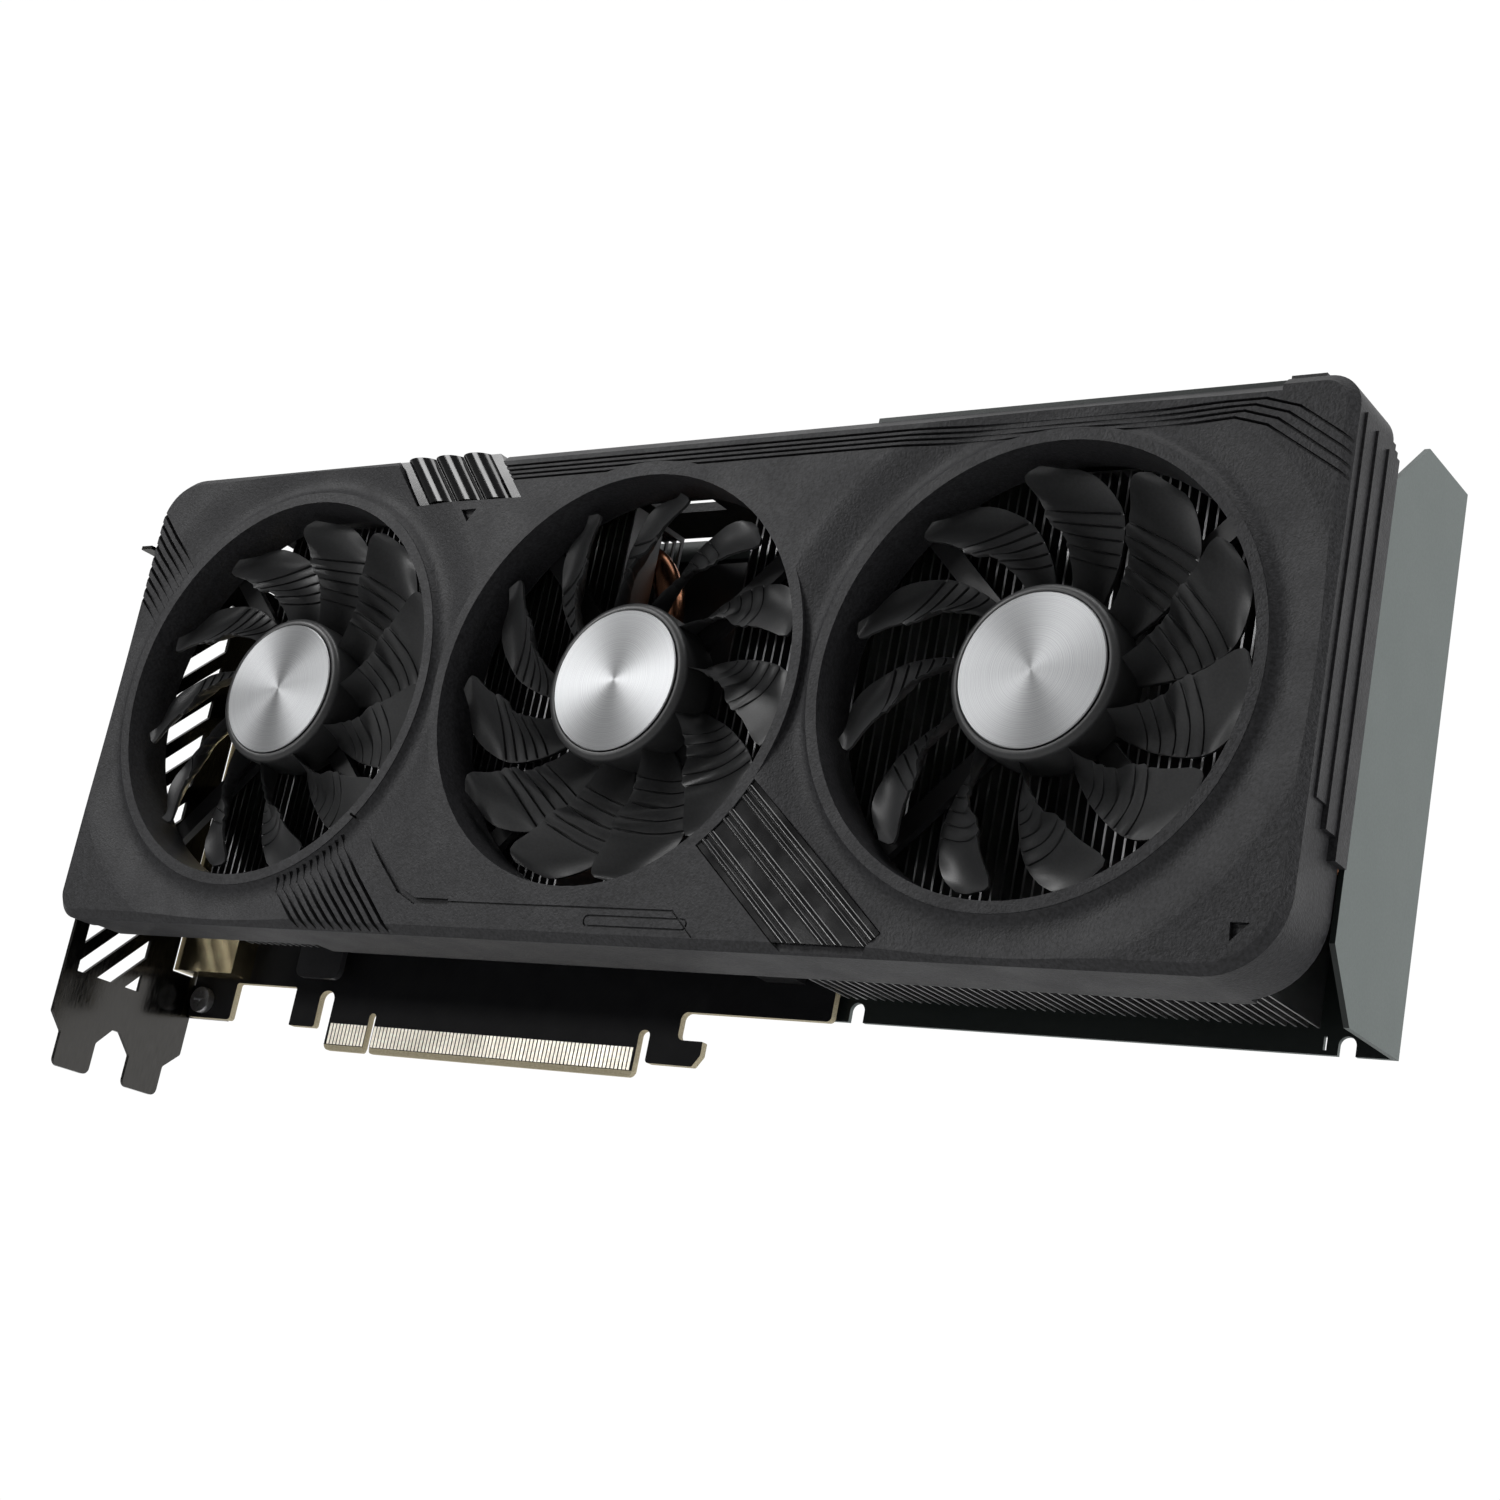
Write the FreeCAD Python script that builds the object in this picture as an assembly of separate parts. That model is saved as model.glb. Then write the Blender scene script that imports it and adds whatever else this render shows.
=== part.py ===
"""Triple-fan graphics card, built as an assembly of separate pieces.

Frame: +X runs from the slot bracket to the tail, +Y runs from the fans into the card and
+Z points up, away from the edge connector.  The origin is at the connector's key notch, on
the board's component face, level with the lower edge of the fingers.  Units are millimetres.
"""
import FreeCAD, Part

import math
import os

V = FreeCAD.Vector

# ---------------------------------------------------------------- driving dimensions
FACE_Y = -44.7                 # front plane of the shroud
SHROUD_X = (-57.3, 226.6)
SHROUD_Z = (15.8, 118.3)
SHROUD_CHAMFER = 1.7
SHROUD_SKIN = 2.0
SHROUD_CORNERS = (6.0, 14.0, 6.0, 10.5)    # lower left, lower right, upper right, upper left
WALL_REAR_TOP = -17.0
CLOSED_TOP_X = (-50.0, 91.0)   # stretch of the top wall that reaches back over the board
CLOSED_TOP_REAR = -0.5
WALL_REAR_BOTTOM = -26.0
WALL_REAR_BOTTOM_LEFT = -31.0
WALL_REAR_LEFT = -37.5
WALL_REAR_TAIL = -28.3

FAN_X = (-7.6, 82.8, 173.2)
FAN_Z = 68.0
FAN_NAMES = ("left", "middle", "right")
FAN_SWEEP = (1, -1, 1)         # the middle fan's blades are mirrored
FAN_TIP_ANGLE = (1.5, 12.6, 5.4)
OPENING_R = 41.7
DUCT_WALL = 1.7
DUCT_REAR = -33.5
LIP_R = 43.9
DISH_R = 55.5
GROOVE_FLOOR = FACE_Y + 1.5

BLADE_COUNT = 11
BLADE_TIP_R = 39.6
HUB_R = 16.2
HUB_FRONT = -42.0
HUB_REAR = -33.6
HUB_WALL = 1.8
CAP_R = 14.3
CAP_T = 0.85
SHAFT_R = 1.5
SHAFT_CLEARANCE = 0.04
BEARING_R = 3.0
ARM_REACH_R = 47.0
ARM_Y = (-33.0, -31.2)

BOARD_T = 1.6
BOARD_TOP = 111.2
BOARD_X = (-57.0, 117.3)
FINGER_X = (-12.6, 72.6)
FINGER_PITCH = 1.0
FINGER_Z = (1.3, 5.9)
KEY_HALF = 0.95

GPU_X, GPU_Z = 41.0, 62.0
GPU_SCREW_HALF = 24.5
BASE_HALF = 28.0
BASE_Y = (-13.0, -4.9)
PIPE_R = 3.0
PIPE_HOLE_R = 3.05
PIPE_X = (14.0, 219.0)
PIPE_Y = -8.0
PIPE_Z = (46.0, 55.0, 64.0)
LOOP_Z = (75.5, 106.3)
LOOP_Y = -17.0
LOOP_BEND_X = 56.5
SADDLE_X = (13.0, 55.0)          # raised block of the base that holds the bent pipe
SADDLE_Z = (70.0, 81.0)
SADDLE_FRONT = -21.0
SADDLE_GAP = 0.1
PLATE_Y = (-4.9, -3.4)

FIN_PITCH = 2.0
FIN_T = 0.4
FIN_FRONT = -29.8
FIN_TOP = 110.5
FRONT_STACK_X = (-28.0, 68.0)
FRONT_STACK_BOTTOM = 19.5
LOW_STACK_X = (80.0, 96.0)
LOW_STACK_TOP = 66.0
REAR_STACK_X = (99.0, 215.0)
REAR_STACK_DEEP_X = 121.0
REAR_STACK_BOTTOM = 18.3

BRACKET_X = (-58.96, -58.1)
BRACKET_Y = (-36.8, 1.6)
BRACKET_TOP = 105.4
TAB_BOTTOM = -14.5
SLOT_PITCH = 20.32
TAB_WIDTH = 10.19
FLANGE_REACH = 11.4
BRACKET_HOLE_R = 2.25
BRACKET_HOLE_Y = -17.9

BACKPLATE_Y = (3.4, 4.4)
BACKPLATE_X = (-44.0, 227.6)
BACKPLATE_Z = (14.8, 117.4)
TOP_FLANGE_X = (131.0, 213.0)
TOP_FLANGE_Z = (118.4, 119.4)
TAIL_FLANGE_FRONT = -27.8

PORT_Z = (22.5, 44.5, 66.5, 88.5)
PORT_X = (-58.6, -40.0)

SCREW_HEAD_R = 2.9


# ---------------------------------------------------------------- shape helpers
def box(x_span, y_span, z_span):
    """Block between two corners, each given as a (low, high) span."""
    size = [span[1] - span[0] for span in (x_span, y_span, z_span)]
    return Part.makeBox(*size, V(x_span[0], y_span[0], z_span[0]))


def rod_y(x, z, radius, y_span):
    return Part.makeCylinder(radius, y_span[1] - y_span[0], V(x, y_span[0], z), V(0, 1, 0))


def rod_x(y, z, radius, x_span):
    return Part.makeCylinder(radius, x_span[1] - x_span[0], V(x_span[0], y, z), V(1, 0, 0))


def rod_z(x, y, radius, z_span):
    return Part.makeCylinder(radius, z_span[1] - z_span[0], V(x, y, z_span[0]), V(0, 0, 1))


def ring_y(x, z, inner, outer, y_span):
    return rod_y(x, z, outer, y_span).cut(rod_y(x, z, inner, y_span))


def in_xz(y):
    """Placement of a flat outline: its points are (x, z) at the given y."""
    return lambda a, b: V(a, y, b)


def in_yz(x):
    """Placement of a flat outline: its points are (y, z) at the given x."""
    return lambda a, b: V(x, a, b)


def corner(before, here, after):
    """Start, middle and end of the arc that rounds one corner of an outline."""
    radius = here[2]
    back = (before[0] - here[0], before[1] - here[1])
    ahead = (after[0] - here[0], after[1] - here[1])
    back_len, ahead_len = math.hypot(*back), math.hypot(*ahead)
    back = (back[0] / back_len, back[1] / back_len)
    ahead = (ahead[0] / ahead_len, ahead[1] / ahead_len)
    half = math.acos(back[0] * ahead[0] + back[1] * ahead[1]) / 2
    run = radius / math.tan(half)
    middle = (back[0] + ahead[0], back[1] + ahead[1])
    middle_len = math.hypot(*middle)
    reach = (radius / math.sin(half) - radius) / middle_len
    start = (here[0] + back[0] * run, here[1] + back[1] * run)
    end = (here[0] + ahead[0] * run, here[1] + ahead[1] * run)
    return start, (here[0] + middle[0] * reach, here[1] + middle[1] * reach), end


def outline_wire(points, place):
    """Closed wire through flat points; a point's third value rounds that corner."""
    edges = []
    joints = []
    for i, here in enumerate(points):
        if len(here) > 2 and here[2] > 0:
            start, middle, end = corner(points[i - 1], here, points[(i + 1) % len(points)])
            edges.append(Part.Arc(place(*start), place(*middle), place(*end)).toShape())
            joints.append((start, end))
        else:
            joints.append((here[:2], here[:2]))
    for i, (_, end) in enumerate(joints):
        start = joints[(i + 1) % len(joints)][0]
        if math.dist(start, end) > 1e-6:
            edges.append(Part.LineSegment(place(*end), place(*start)).toShape())
    return Part.Wire(Part.__sortEdges__(edges))


def slab(points, y_span):
    """Plate with an (x, z) outline, from y_span[0] to y_span[1]."""
    face = Part.Face(outline_wire(points, in_xz(y_span[0])))
    return face.extrude(V(0, y_span[1] - y_span[0], 0))


def panel(points, x_span):
    """Plate with a (y, z) outline, from x_span[0] to x_span[1]."""
    face = Part.Face(outline_wire(points, in_yz(x_span[0])))
    return face.extrude(V(x_span[1] - x_span[0], 0, 0))


def rounded_rectangle(x_span, z_span, radii):
    """Outline points, starting lower left and going round by the lower right."""
    (x0, x1), (z0, z1) = x_span, z_span
    return [(x0, z0, radii[0]), (x1, z0, radii[1]), (x1, z1, radii[2]), (x0, z1, radii[3])]


def inset(span, distance):
    return (span[0] + distance, span[1] - distance)


def turned(shape, x, z, degrees):
    """Copy of a shape, turned about an axis along Y through (x, z)."""
    copy = shape.copy()
    copy.rotate(V(x, 0, z), V(0, 1, 0), degrees)
    return copy


def fuse(shapes):
    body = shapes[0].multiFuse(shapes[1:]) if len(shapes) > 1 else shapes[0]
    return body.removeSplitter()


def group(shapes):
    """Identical pieces that share one node as separate solids."""
    return Part.makeCompound(shapes)


# ---------------------------------------------------------------- shroud
def shroud_block(grow, y_span):
    """Solid block inside the shroud's outline, made smaller by -grow."""
    radii = [max(radius + grow, 0.5) for radius in SHROUD_CORNERS]
    outline = rounded_rectangle(inset(SHROUD_X, -grow), inset(SHROUD_Z, -grow), radii)
    return slab(outline, y_span)


def shroud_skin():
    """Face plate with chamfered edge, and the side walls behind it."""
    radii = SHROUD_CORNERS
    small = [max(radius - SHROUD_CHAMFER, 0.5) for radius in radii]
    front = rounded_rectangle(inset(SHROUD_X, SHROUD_CHAMFER), inset(SHROUD_Z, SHROUD_CHAMFER), small)
    shoulder = rounded_rectangle(SHROUD_X, SHROUD_Z, radii)
    shoulder_y = FACE_Y + SHROUD_CHAMFER
    nose = Part.makeLoft([outline_wire(front, in_xz(FACE_Y)),
                          outline_wire(shoulder, in_xz(shoulder_y))], True, True)
    walls = shroud_block(0.0, (shoulder_y, CLOSED_TOP_REAR))
    plate_rear = FACE_Y + SHROUD_SKIN + 0.2
    hollow = shroud_block(-SHROUD_SKIN, (plate_rear, 5.0))
    body = nose.fuse(walls).cut(hollow)
    everywhere = (-80.0, 250.0)
    for x_span, y0, z_span in (
            (everywhere, WALL_REAR_BOTTOM, (0.0, 60.0)),
            ((-80.0, 10.0), WALL_REAR_BOTTOM_LEFT, (0.0, 60.0)),
            ((-80.0, -50.0), WALL_REAR_LEFT, (0.0, 200.0)),
            ((215.0, 250.0), WALL_REAR_TAIL, (0.0, 200.0)),
            ((CLOSED_TOP_X[1], 250.0), WALL_REAR_TOP, (60.0, 200.0))):
        body = body.cut(box(x_span, (y0, 5.0), z_span))
    return body.cut(box((62.0, 78.0), (-18.4, -13.3), (110.0, 130.0)))


def tail_steps():
    """Upright steps that widen the tail wall towards the back."""
    steps = []
    for count, (y0, z0) in enumerate(((-41.0, 46.0), (-37.0, 42.0), (-33.0, 38.0))):
        x1 = SHROUD_X[1] + 0.5 * (count + 1)
        steps.append(box((SHROUD_X[1] - 1.0, x1), (y0, WALL_REAR_TAIL), (z0, 112.0 - 1.5 * count)))
    return steps


def dish_cut(x):
    """Smooth trough that sinks the face round the rim of a fan opening."""
    trough = ((LIP_R - 0.2, 0.0), (LIP_R + 0.5, 0.75), (46.0, 1.35), (48.5, 1.2), (51.5, 0.6),
              (54.0, 0.14), (DISH_R, 0.0))
    curve = Part.BSplineCurve()
    curve.interpolate([V(radius, FACE_Y + depth, 0) for radius, depth in trough])
    rim = V(LIP_R - 0.2, FACE_Y, 0)
    edges = [curve.toShape(),
             Part.makeLine(V(DISH_R, FACE_Y, 0), V(DISH_R, FACE_Y - 1.0, 0)),
             Part.makeLine(V(DISH_R, FACE_Y - 1.0, 0), V(rim.x, FACE_Y - 1.0, 0)),
             Part.makeLine(V(rim.x, FACE_Y - 1.0, 0), rim)]
    face = Part.Face(Part.Wire(edges))
    trough_ring = face.revolve(V(0, 0, 0), V(0, 1, 0), 360)
    trough_ring.translate(V(x, 0, FAN_Z))
    return trough_ring


def boss_places(x):
    """The four screw bosses of one fan, on the diagonals of its opening."""
    reach = ARM_REACH_R * math.sqrt(0.5)
    return [(x + sx * reach, FAN_Z + sz * reach) for sx in (-1, 1) for sz in (-1, 1)]


TUBE_POCKET = [(10.5, 121.0), (38.9, 121.0), (50.5, 107.1), (21.1, 107.4)]
TUBE_SEAT = [(13.1, 118.1), (40.8, 118.1), (49.7, 107.4), (21.5, 107.7)]
STRIP_DIRECTION = (0.762, -0.648)
STRIP_START = (110.5, 46.4)
STRIP_LENGTH = 50.0
STRIP_HALF = 8.1


def strip_outline(half, z_low):
    """Diagonal band between the middle and the right opening, cut off level at z_low."""
    dx, dz = STRIP_DIRECTION
    start_x, start_z = STRIP_START

    def at(along, across):
        return (start_x + dx * along + dz * across, start_z + dz * along - dx * across)

    band = slab([at(0, half), at(STRIP_LENGTH, half), at(STRIP_LENGTH, -half), at(0, -half)],
                (-60.0, 0.0))
    keep = box((100.0, 170.0), (-60.0, 0.0), (z_low, 60.0))
    clear = rod_y(FAN_X[1], FAN_Z, LIP_R + 0.1, (-60.0, 0.0))
    return band.common(keep).cut(clear)


def strokes(points, width, y_span):
    """Bars along a line of flat (x, z) points, used to cut channels."""
    half = width / 2
    bars = []
    for (x0, z0), (x1, z1) in zip(points, points[1:]):
        length = math.dist((x0, z0), (x1, z1))
        ux, uz = (x1 - x0) / length * half, (z1 - z0) / length * half
        x0, z0, x1, z1 = x0 - ux, z0 - uz, x1 + ux, z1 + uz
        bars.append(slab([(x0 - uz, z0 + ux), (x1 - uz, z1 + ux), (x1 + uz, z1 - ux), (x0 + uz, z0 - ux)],
                         y_span))
    return bars


def between(low, high, t):
    return tuple(a + (b - a) * t for a, b in zip(low, high))


def hatch_grooves():
    """Nine slanted grooves from the left edge towards the left opening."""
    cuts = []
    for n in range(9):
        start = between((-56.8, 111.2), (-56.8, 90.5), n / 8)
        end = between((-42.8, 97.2), (-50.0, 83.7), n / 8)
        cuts += strokes([start, end], 0.75, (FACE_Y - 1.0, GROOVE_FLOOR))
    return cuts


def fan_out_grooves():
    """Eleven grooves that spread from the left opening's rim to the bottom edge."""
    cuts = []
    for n in range(11):
        angle = math.radians(-70.0 + 2.3 * n)
        bend = angle - math.radians(0.8)
        rim = (FAN_X[0] + 44.8 * math.cos(angle), FAN_Z + 44.8 * math.sin(angle))
        knee = (FAN_X[0] + 47.0 * math.cos(bend), FAN_Z + 47.0 * math.sin(bend))
        foot = (17.3 + 2.45 * n, SHROUD_Z[0])
        cuts += strokes([rim, knee, foot], 0.8, (FACE_Y - 1.0, GROOVE_FLOOR))
    return cuts


def top_grooves():
    """Four grooves along the upper edge that turn down to the tail, clear of the rims."""
    cuts = []
    for n in range(4):
        z = 114.3 - 1.0 * n
        turn_x = 210.5 - 1.8 * n
        bend = (turn_x + 6.2, z - 1.9)
        end = (226.2, (105.8, 103.6, 101.2, 99.2)[n])
        cuts += strokes([(43.6 + 0.8 * n, z), (turn_x, z), bend, end], 0.5, (FACE_Y - 1.0, GROOVE_FLOOR))
    rims = [rod_y(x, FAN_Z, LIP_R + 0.6, (-60.0, 0.0)) for x in FAN_X]
    return [cut.cut(rims) for cut in cuts]


def panel_lines():
    """Broad step line, fine seam and outlined pill low on the face, and two marks."""
    step = [(29.5, 37.1), (36.9, 29.6), (42.3, 24.5), (46.9, 22.4), (55.1, 22.4)]
    seam = [(55.1, 22.4), (109.6, 22.4), (114.8, 17.8)]
    cuts = strokes(step, 1.2, (FACE_Y - 1.0, FACE_Y + 0.9))
    cuts += strokes(seam, 0.35, (FACE_Y - 1.0, FACE_Y + 0.4))
    cuts += strokes([(24.6, 39.7), (29.5, 37.1)], 0.5, (FACE_Y - 1.0, FACE_Y + 1.2))
    cuts += strokes([(147.8, 110.7), (151.8, 108.6)], 0.35, (FACE_Y - 1.0, FACE_Y + 1.0))
    y_span = (FACE_Y - 1.0, FACE_Y + 0.35)
    outer = slab(rounded_rectangle((89.6, 113.4), (18.8, 21.1), (1.1,) * 4), y_span)
    inner = slab(rounded_rectangle((89.95, 113.05), (19.15, 20.75), (0.75,) * 4), y_span)
    cuts.append(outer.cut(inner))
    cuts.append(slab([(217.3, 24.3), (220.7, 24.3), (217.6, 21.2)], (FACE_Y - 1.0, FACE_Y + 1.0)))
    cuts.append(slab([(35.0, 105.3), (39.1, 105.3), (37.2, 102.5)], (FACE_Y - 1.0, FACE_Y + 1.0)))
    return cuts


def shroud():
    body = shroud_skin()
    for x in FAN_X:
        body = body.cut(dish_cut(x))
    add = tail_steps()
    plate_rear = FACE_Y + SHROUD_SKIN + 0.2
    for x in FAN_X:
        add.append(rod_y(x, FAN_Z, LIP_R, (FACE_Y, plate_rear)))
        add.append(rod_y(x, FAN_Z, OPENING_R + DUCT_WALL, (FACE_Y, DUCT_REAR)))
        for boss_x, boss_z in boss_places(x):
            add.append(rod_y(boss_x, boss_z, 2.6, (plate_rear - 0.5, ARM_Y[0])))
    for x in HEATSINK_TAB_X:
        add.append(box((x - 2.4, x + 2.4), (plate_rear - 0.5, TAB_PLATE_Y[0]), (111.2, 117.0)))
    add.append(box((213.2, 219.5), (-42.0, -36.0), (SHROUD_Z[1] - 1.0, TOP_FLANGE_Z[1])))
    body = fuse([body] + add)
    for x in FAN_X:
        body = body.cut(rod_y(x, FAN_Z, OPENING_R, (-60.0, 0.0)))
        for boss_x, boss_z in boss_places(x):
            body = body.cut(rod_y(boss_x, boss_z, 1.0, (-40.0, 0.0)))
    for x in HEATSINK_TAB_X:
        body = body.cut(rod_y(x, HEATSINK_SCREW_Z, 1.0, (-27.0, 0.0)))
    body = body.cut(slab(TUBE_POCKET, (-50.0, -39.6)))
    strip_pocket = strip_outline(STRIP_HALF, 0.0)
    body = body.cut(strip_pocket.common(box((90.0, 180.0), (-50.0, FACE_Y + 1.3), (0.0, 60.0))))
    slope = [(-48.0, 115.5), (FACE_Y, 115.5), (-41.0, SHROUD_Z[1]), (-41.0, 121.0), (-48.0, 121.0)]
    body = body.cut(panel(slope, (41.0, 213.2)))
    return body.cut(hatch_grooves() + fan_out_grooves() + top_grooves() + panel_lines())


def tube_accent():
    """Three glossy half-round tubes on a stepped base, at the shroud's upper edge."""
    base = slab(TUBE_SEAT, (-43.2, -40.0))
    tubes = []
    for count in range(3):
        top = V(17.6 + 7.6 * count, -41.6, 120.0)
        down = V(10.4, 0, -12.4)
        tubes.append(Part.makeCylinder(3.3, 20.0, top, down))
    bars = fuse(tubes).common(slab(TUBE_SEAT, (-47.0, -40.0)))
    return fuse([base, bars])


def strip_accent():
    """Glossy ribbed strip laid in the face between the middle and the right opening."""
    base_y = (FACE_Y + 0.35, FACE_Y + 1.2)
    body = strip_outline(STRIP_HALF - 0.15, SHROUD_Z[0] + 1.8)
    body = body.common(box((90.0, 180.0), base_y, (0.0, 60.0)))
    dx, dz = STRIP_DIRECTION
    limit = strip_outline(STRIP_HALF - 0.15, SHROUD_Z[0] + 1.8)
    ribs = []
    for across in (-5.4, 0.0, 5.4):
        for shift, radius in ((-0.9, 0.95), (0.9, 0.8)):
            side = across + shift
            start = V(STRIP_START[0] + dz * side, base_y[0] + 0.5, STRIP_START[1] - dx * side)
            ribs.append(Part.makeCylinder(radius, STRIP_LENGTH, start, V(dx, 0, dz)))
    front_only = limit.common(box((90.0, 180.0), (-46.0, base_y[1]), (0.0, 60.0)))
    return fuse([body] + [rib.common(front_only) for rib in ribs])


# ---------------------------------------------------------------- fans
BLADE_SECTIONS = (
    # radius, rear edge and front edge in degrees from the tip, front y, rear y, thickness along Y
    (15.4, -39.0, -31.0, -41.0, -34.0, 3.0),
    (21.5, -37.0, -21.5, -41.6, -34.2, 2.0),
    (27.0, -33.5, -12.0, -41.8, -34.4, 1.5),
    (32.5, -29.0, -6.0, -41.8, -34.8, 1.2),
    (36.5, -22.5, -0.8, -41.6, -35.6, 1.1),
    (BLADE_TIP_R - 0.1, -14.0, -1.5, -41.2, -37.2, 1.0),
)


def blade_section(section, sweep):
    """Slanted four-sided slice of a blade, in a plane across the blade's radius."""
    radius, rear_turn, front_turn, front, rear, thickness = section
    angle = math.radians((rear_turn + front_turn) / 2) * sweep
    out = V(math.cos(angle), 0, math.sin(angle))
    along = V(-math.sin(angle), 0, math.cos(angle)) * sweep
    half = radius * math.radians(front_turn - rear_turn) / 2
    flat = ((half, front), (half, front + thickness), (-half, rear), (-half, rear - thickness))
    points = [out * radius + along * a + V(0, y, 0) for a, y in flat]
    return Part.makePolygon(points + points[:1])


def rotor(x, sweep, tip_angle):
    """Hub cup and its blades, one moulding."""
    hub = rod_y(0, 0, HUB_R, (HUB_FRONT, HUB_REAR))
    hub = hub.cut(rod_y(0, 0, HUB_R - HUB_WALL, (HUB_FRONT + 1.5, 0.0)))
    hub = hub.cut(rod_y(0, 0, CAP_R + 0.05, (-50.0, HUB_FRONT + 0.3)))
    blade = Part.makeLoft([blade_section(s, sweep) for s in BLADE_SECTIONS], True, False)
    blade = blade.common(ring_y(0, 0, HUB_R - 0.4, BLADE_TIP_R, (-50.0, -20.0)))
    blades = [turned(blade, 0, 0, 360.0 / BLADE_COUNT * n - tip_angle) for n in range(BLADE_COUNT)]
    body = fuse([hub] + blades)
    body.translate(V(x, 0, FAN_Z))
    return body


def hub_cap(x):
    """Spun aluminium disc set in the front of the hub."""
    disc = rod_y(x, FAN_Z, CAP_R, (HUB_FRONT + 0.3 - CAP_T, HUB_FRONT + 0.3))
    rim = max(disc.Edges, key=lambda edge: (edge.Length, -edge.BoundBox.YMin))
    return disc.makeChamfer(0.2, [rim])


def magnet_ring(x):
    return ring_y(x, FAN_Z, 12.9, HUB_R - HUB_WALL, (HUB_FRONT + 2.6, HUB_REAR - 0.3))


def fan_shaft(x):
    return rod_y(x, FAN_Z, SHAFT_R, (HUB_FRONT + 1.5, -32.2))


def bearing(x):
    return ring_y(x, FAN_Z, SHAFT_R + SHAFT_CLEARANCE, BEARING_R, (-39.8, -31.8))


def stator(x):
    """Motor core with nine wound poles round the bearing, on its driver board."""
    core = ring_y(x, FAN_Z, BEARING_R, 6.0, (-38.6, -34.2))
    parts = [core, ring_y(x, FAN_Z, BEARING_R, 12.2, (-34.2, ARM_Y[0]))]
    for n in range(9):
        neck = box((x + 5.0, x + 9.6), (-38.2, -34.2), (FAN_Z - 1.6, FAN_Z + 1.6))
        shoe = box((x + 9.4, x + 11.6), (-38.6, -34.2), (FAN_Z - 3.4, FAN_Z + 3.4))
        parts += [turned(neck, x, FAN_Z, 40.0 * n), turned(shoe, x, FAN_Z, 40.0 * n)]
    return fuse(parts)


def fan_frame(x):
    """Motor plate on four arms that end in screw tabs."""
    parts = [rod_y(x, FAN_Z, 15.6, ARM_Y)]
    for boss_x, boss_z in boss_places(x):
        angle = math.degrees(math.atan2(boss_z - FAN_Z, boss_x - x))
        arm = box((x + 12.0, x + ARM_REACH_R), ARM_Y, (FAN_Z - 2.0, FAN_Z + 2.0))
        parts.append(turned(arm, x, FAN_Z, -angle))
        parts.append(rod_y(boss_x, boss_z, 3.2, ARM_Y))
    body = fuse(parts).cut(rod_y(x, FAN_Z, BEARING_R, (-40.0, 0.0)))
    for boss_x, boss_z in boss_places(x):
        body = body.cut(rod_y(boss_x, boss_z, 1.15, (-40.0, 0.0)))
    return body


def small_screw(x, z, head_r, shank_r, head_y, tip_y):
    """Pan-head screw along Y with a cross recess; head_y is (seat, top of head)."""
    seat, top = head_y
    low, high = min(seat, top), max(seat, top)
    head = rod_y(x, z, head_r, (low, high))
    shank = rod_y(x, z, shank_r, (min(seat, tip_y), max(seat, tip_y)))
    depth = (top - seat) * 0.55
    cut_span = (min(top - depth, top), max(top - depth, top))
    arm = head_r * 0.62
    slot_a = box((x - arm, x + arm), cut_span, (z - 0.28, z + 0.28))
    slot_b = box((x - 0.28, x + 0.28), cut_span, (z - arm, z + arm))
    return fuse([head, shank]).cut(slot_a).cut(slot_b)


def fan_screws():
    return group([small_screw(bx, bz, 1.9, 0.95, (ARM_Y[1], ARM_Y[1] + 0.9), -38.5)
                  for x in FAN_X for bx, bz in boss_places(x)])


# ---------------------------------------------------------------- heatsink
HEATSINK_TAB_X = (37.6, 128.0, 205.0)
HEATSINK_SCREW_Z = 113.6
TAB_PLATE_Y = (-20.6, -19.6)


def fin_row(x_span, y_span, z_span):
    """Upright fins, open below and joined by the folded strip along their upper ends."""
    count = int(round((x_span[1] - x_span[0]) / FIN_PITCH))
    parts = []
    for n in range(count + 1):
        x = x_span[0] + FIN_PITCH * n
        parts.append(box((x, x + FIN_T), y_span, z_span))
    long_x = (x_span[0], x_span[0] + FIN_PITCH * count + FIN_T)
    parts.append(box(long_x, y_span, (z_span[1] - FIN_T, z_span[1])))
    return parts


def front_fins():
    """Tall stack over the GPU, and a low one beside it that leaves room for the pipe's bend."""
    y_span = (FIN_FRONT, BASE_Y[0])
    tall = fuse(fin_row(FRONT_STACK_X, y_span, (FRONT_STACK_BOTTOM, FIN_TOP)))
    for z in LOOP_Z:
        tall = tall.cut(rod_x(LOOP_Y, z, PIPE_HOLE_R, (-22.0, 79.0)))
    saddle = SADDLE_GAP
    tall = tall.cut(box((SADDLE_X[0] - saddle, SADDLE_X[1] + saddle), (SADDLE_FRONT - saddle, 0.0),
                        (SADDLE_Z[0] - saddle, SADDLE_Z[1] + saddle)))
    tall = tall.cut(box((LOOP_BEND_X, 79.0), (LOOP_Y - PIPE_HOLE_R - 0.2, LOOP_Y + PIPE_HOLE_R + 0.2),
                        (LOOP_Z[0] - PIPE_HOLE_R - 0.2, LOOP_Z[1] + PIPE_HOLE_R)))
    strip_z = (FRONT_STACK_BOTTOM, FRONT_STACK_BOTTOM + FIN_T)
    tie = box((FRONT_STACK_X[1] + FIN_T, LOW_STACK_X[0]), y_span, strip_z)
    low = fuse(fin_row(LOW_STACK_X, y_span, (FRONT_STACK_BOTTOM, LOW_STACK_TOP)) + [tie])
    return group([tall, low])


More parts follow.
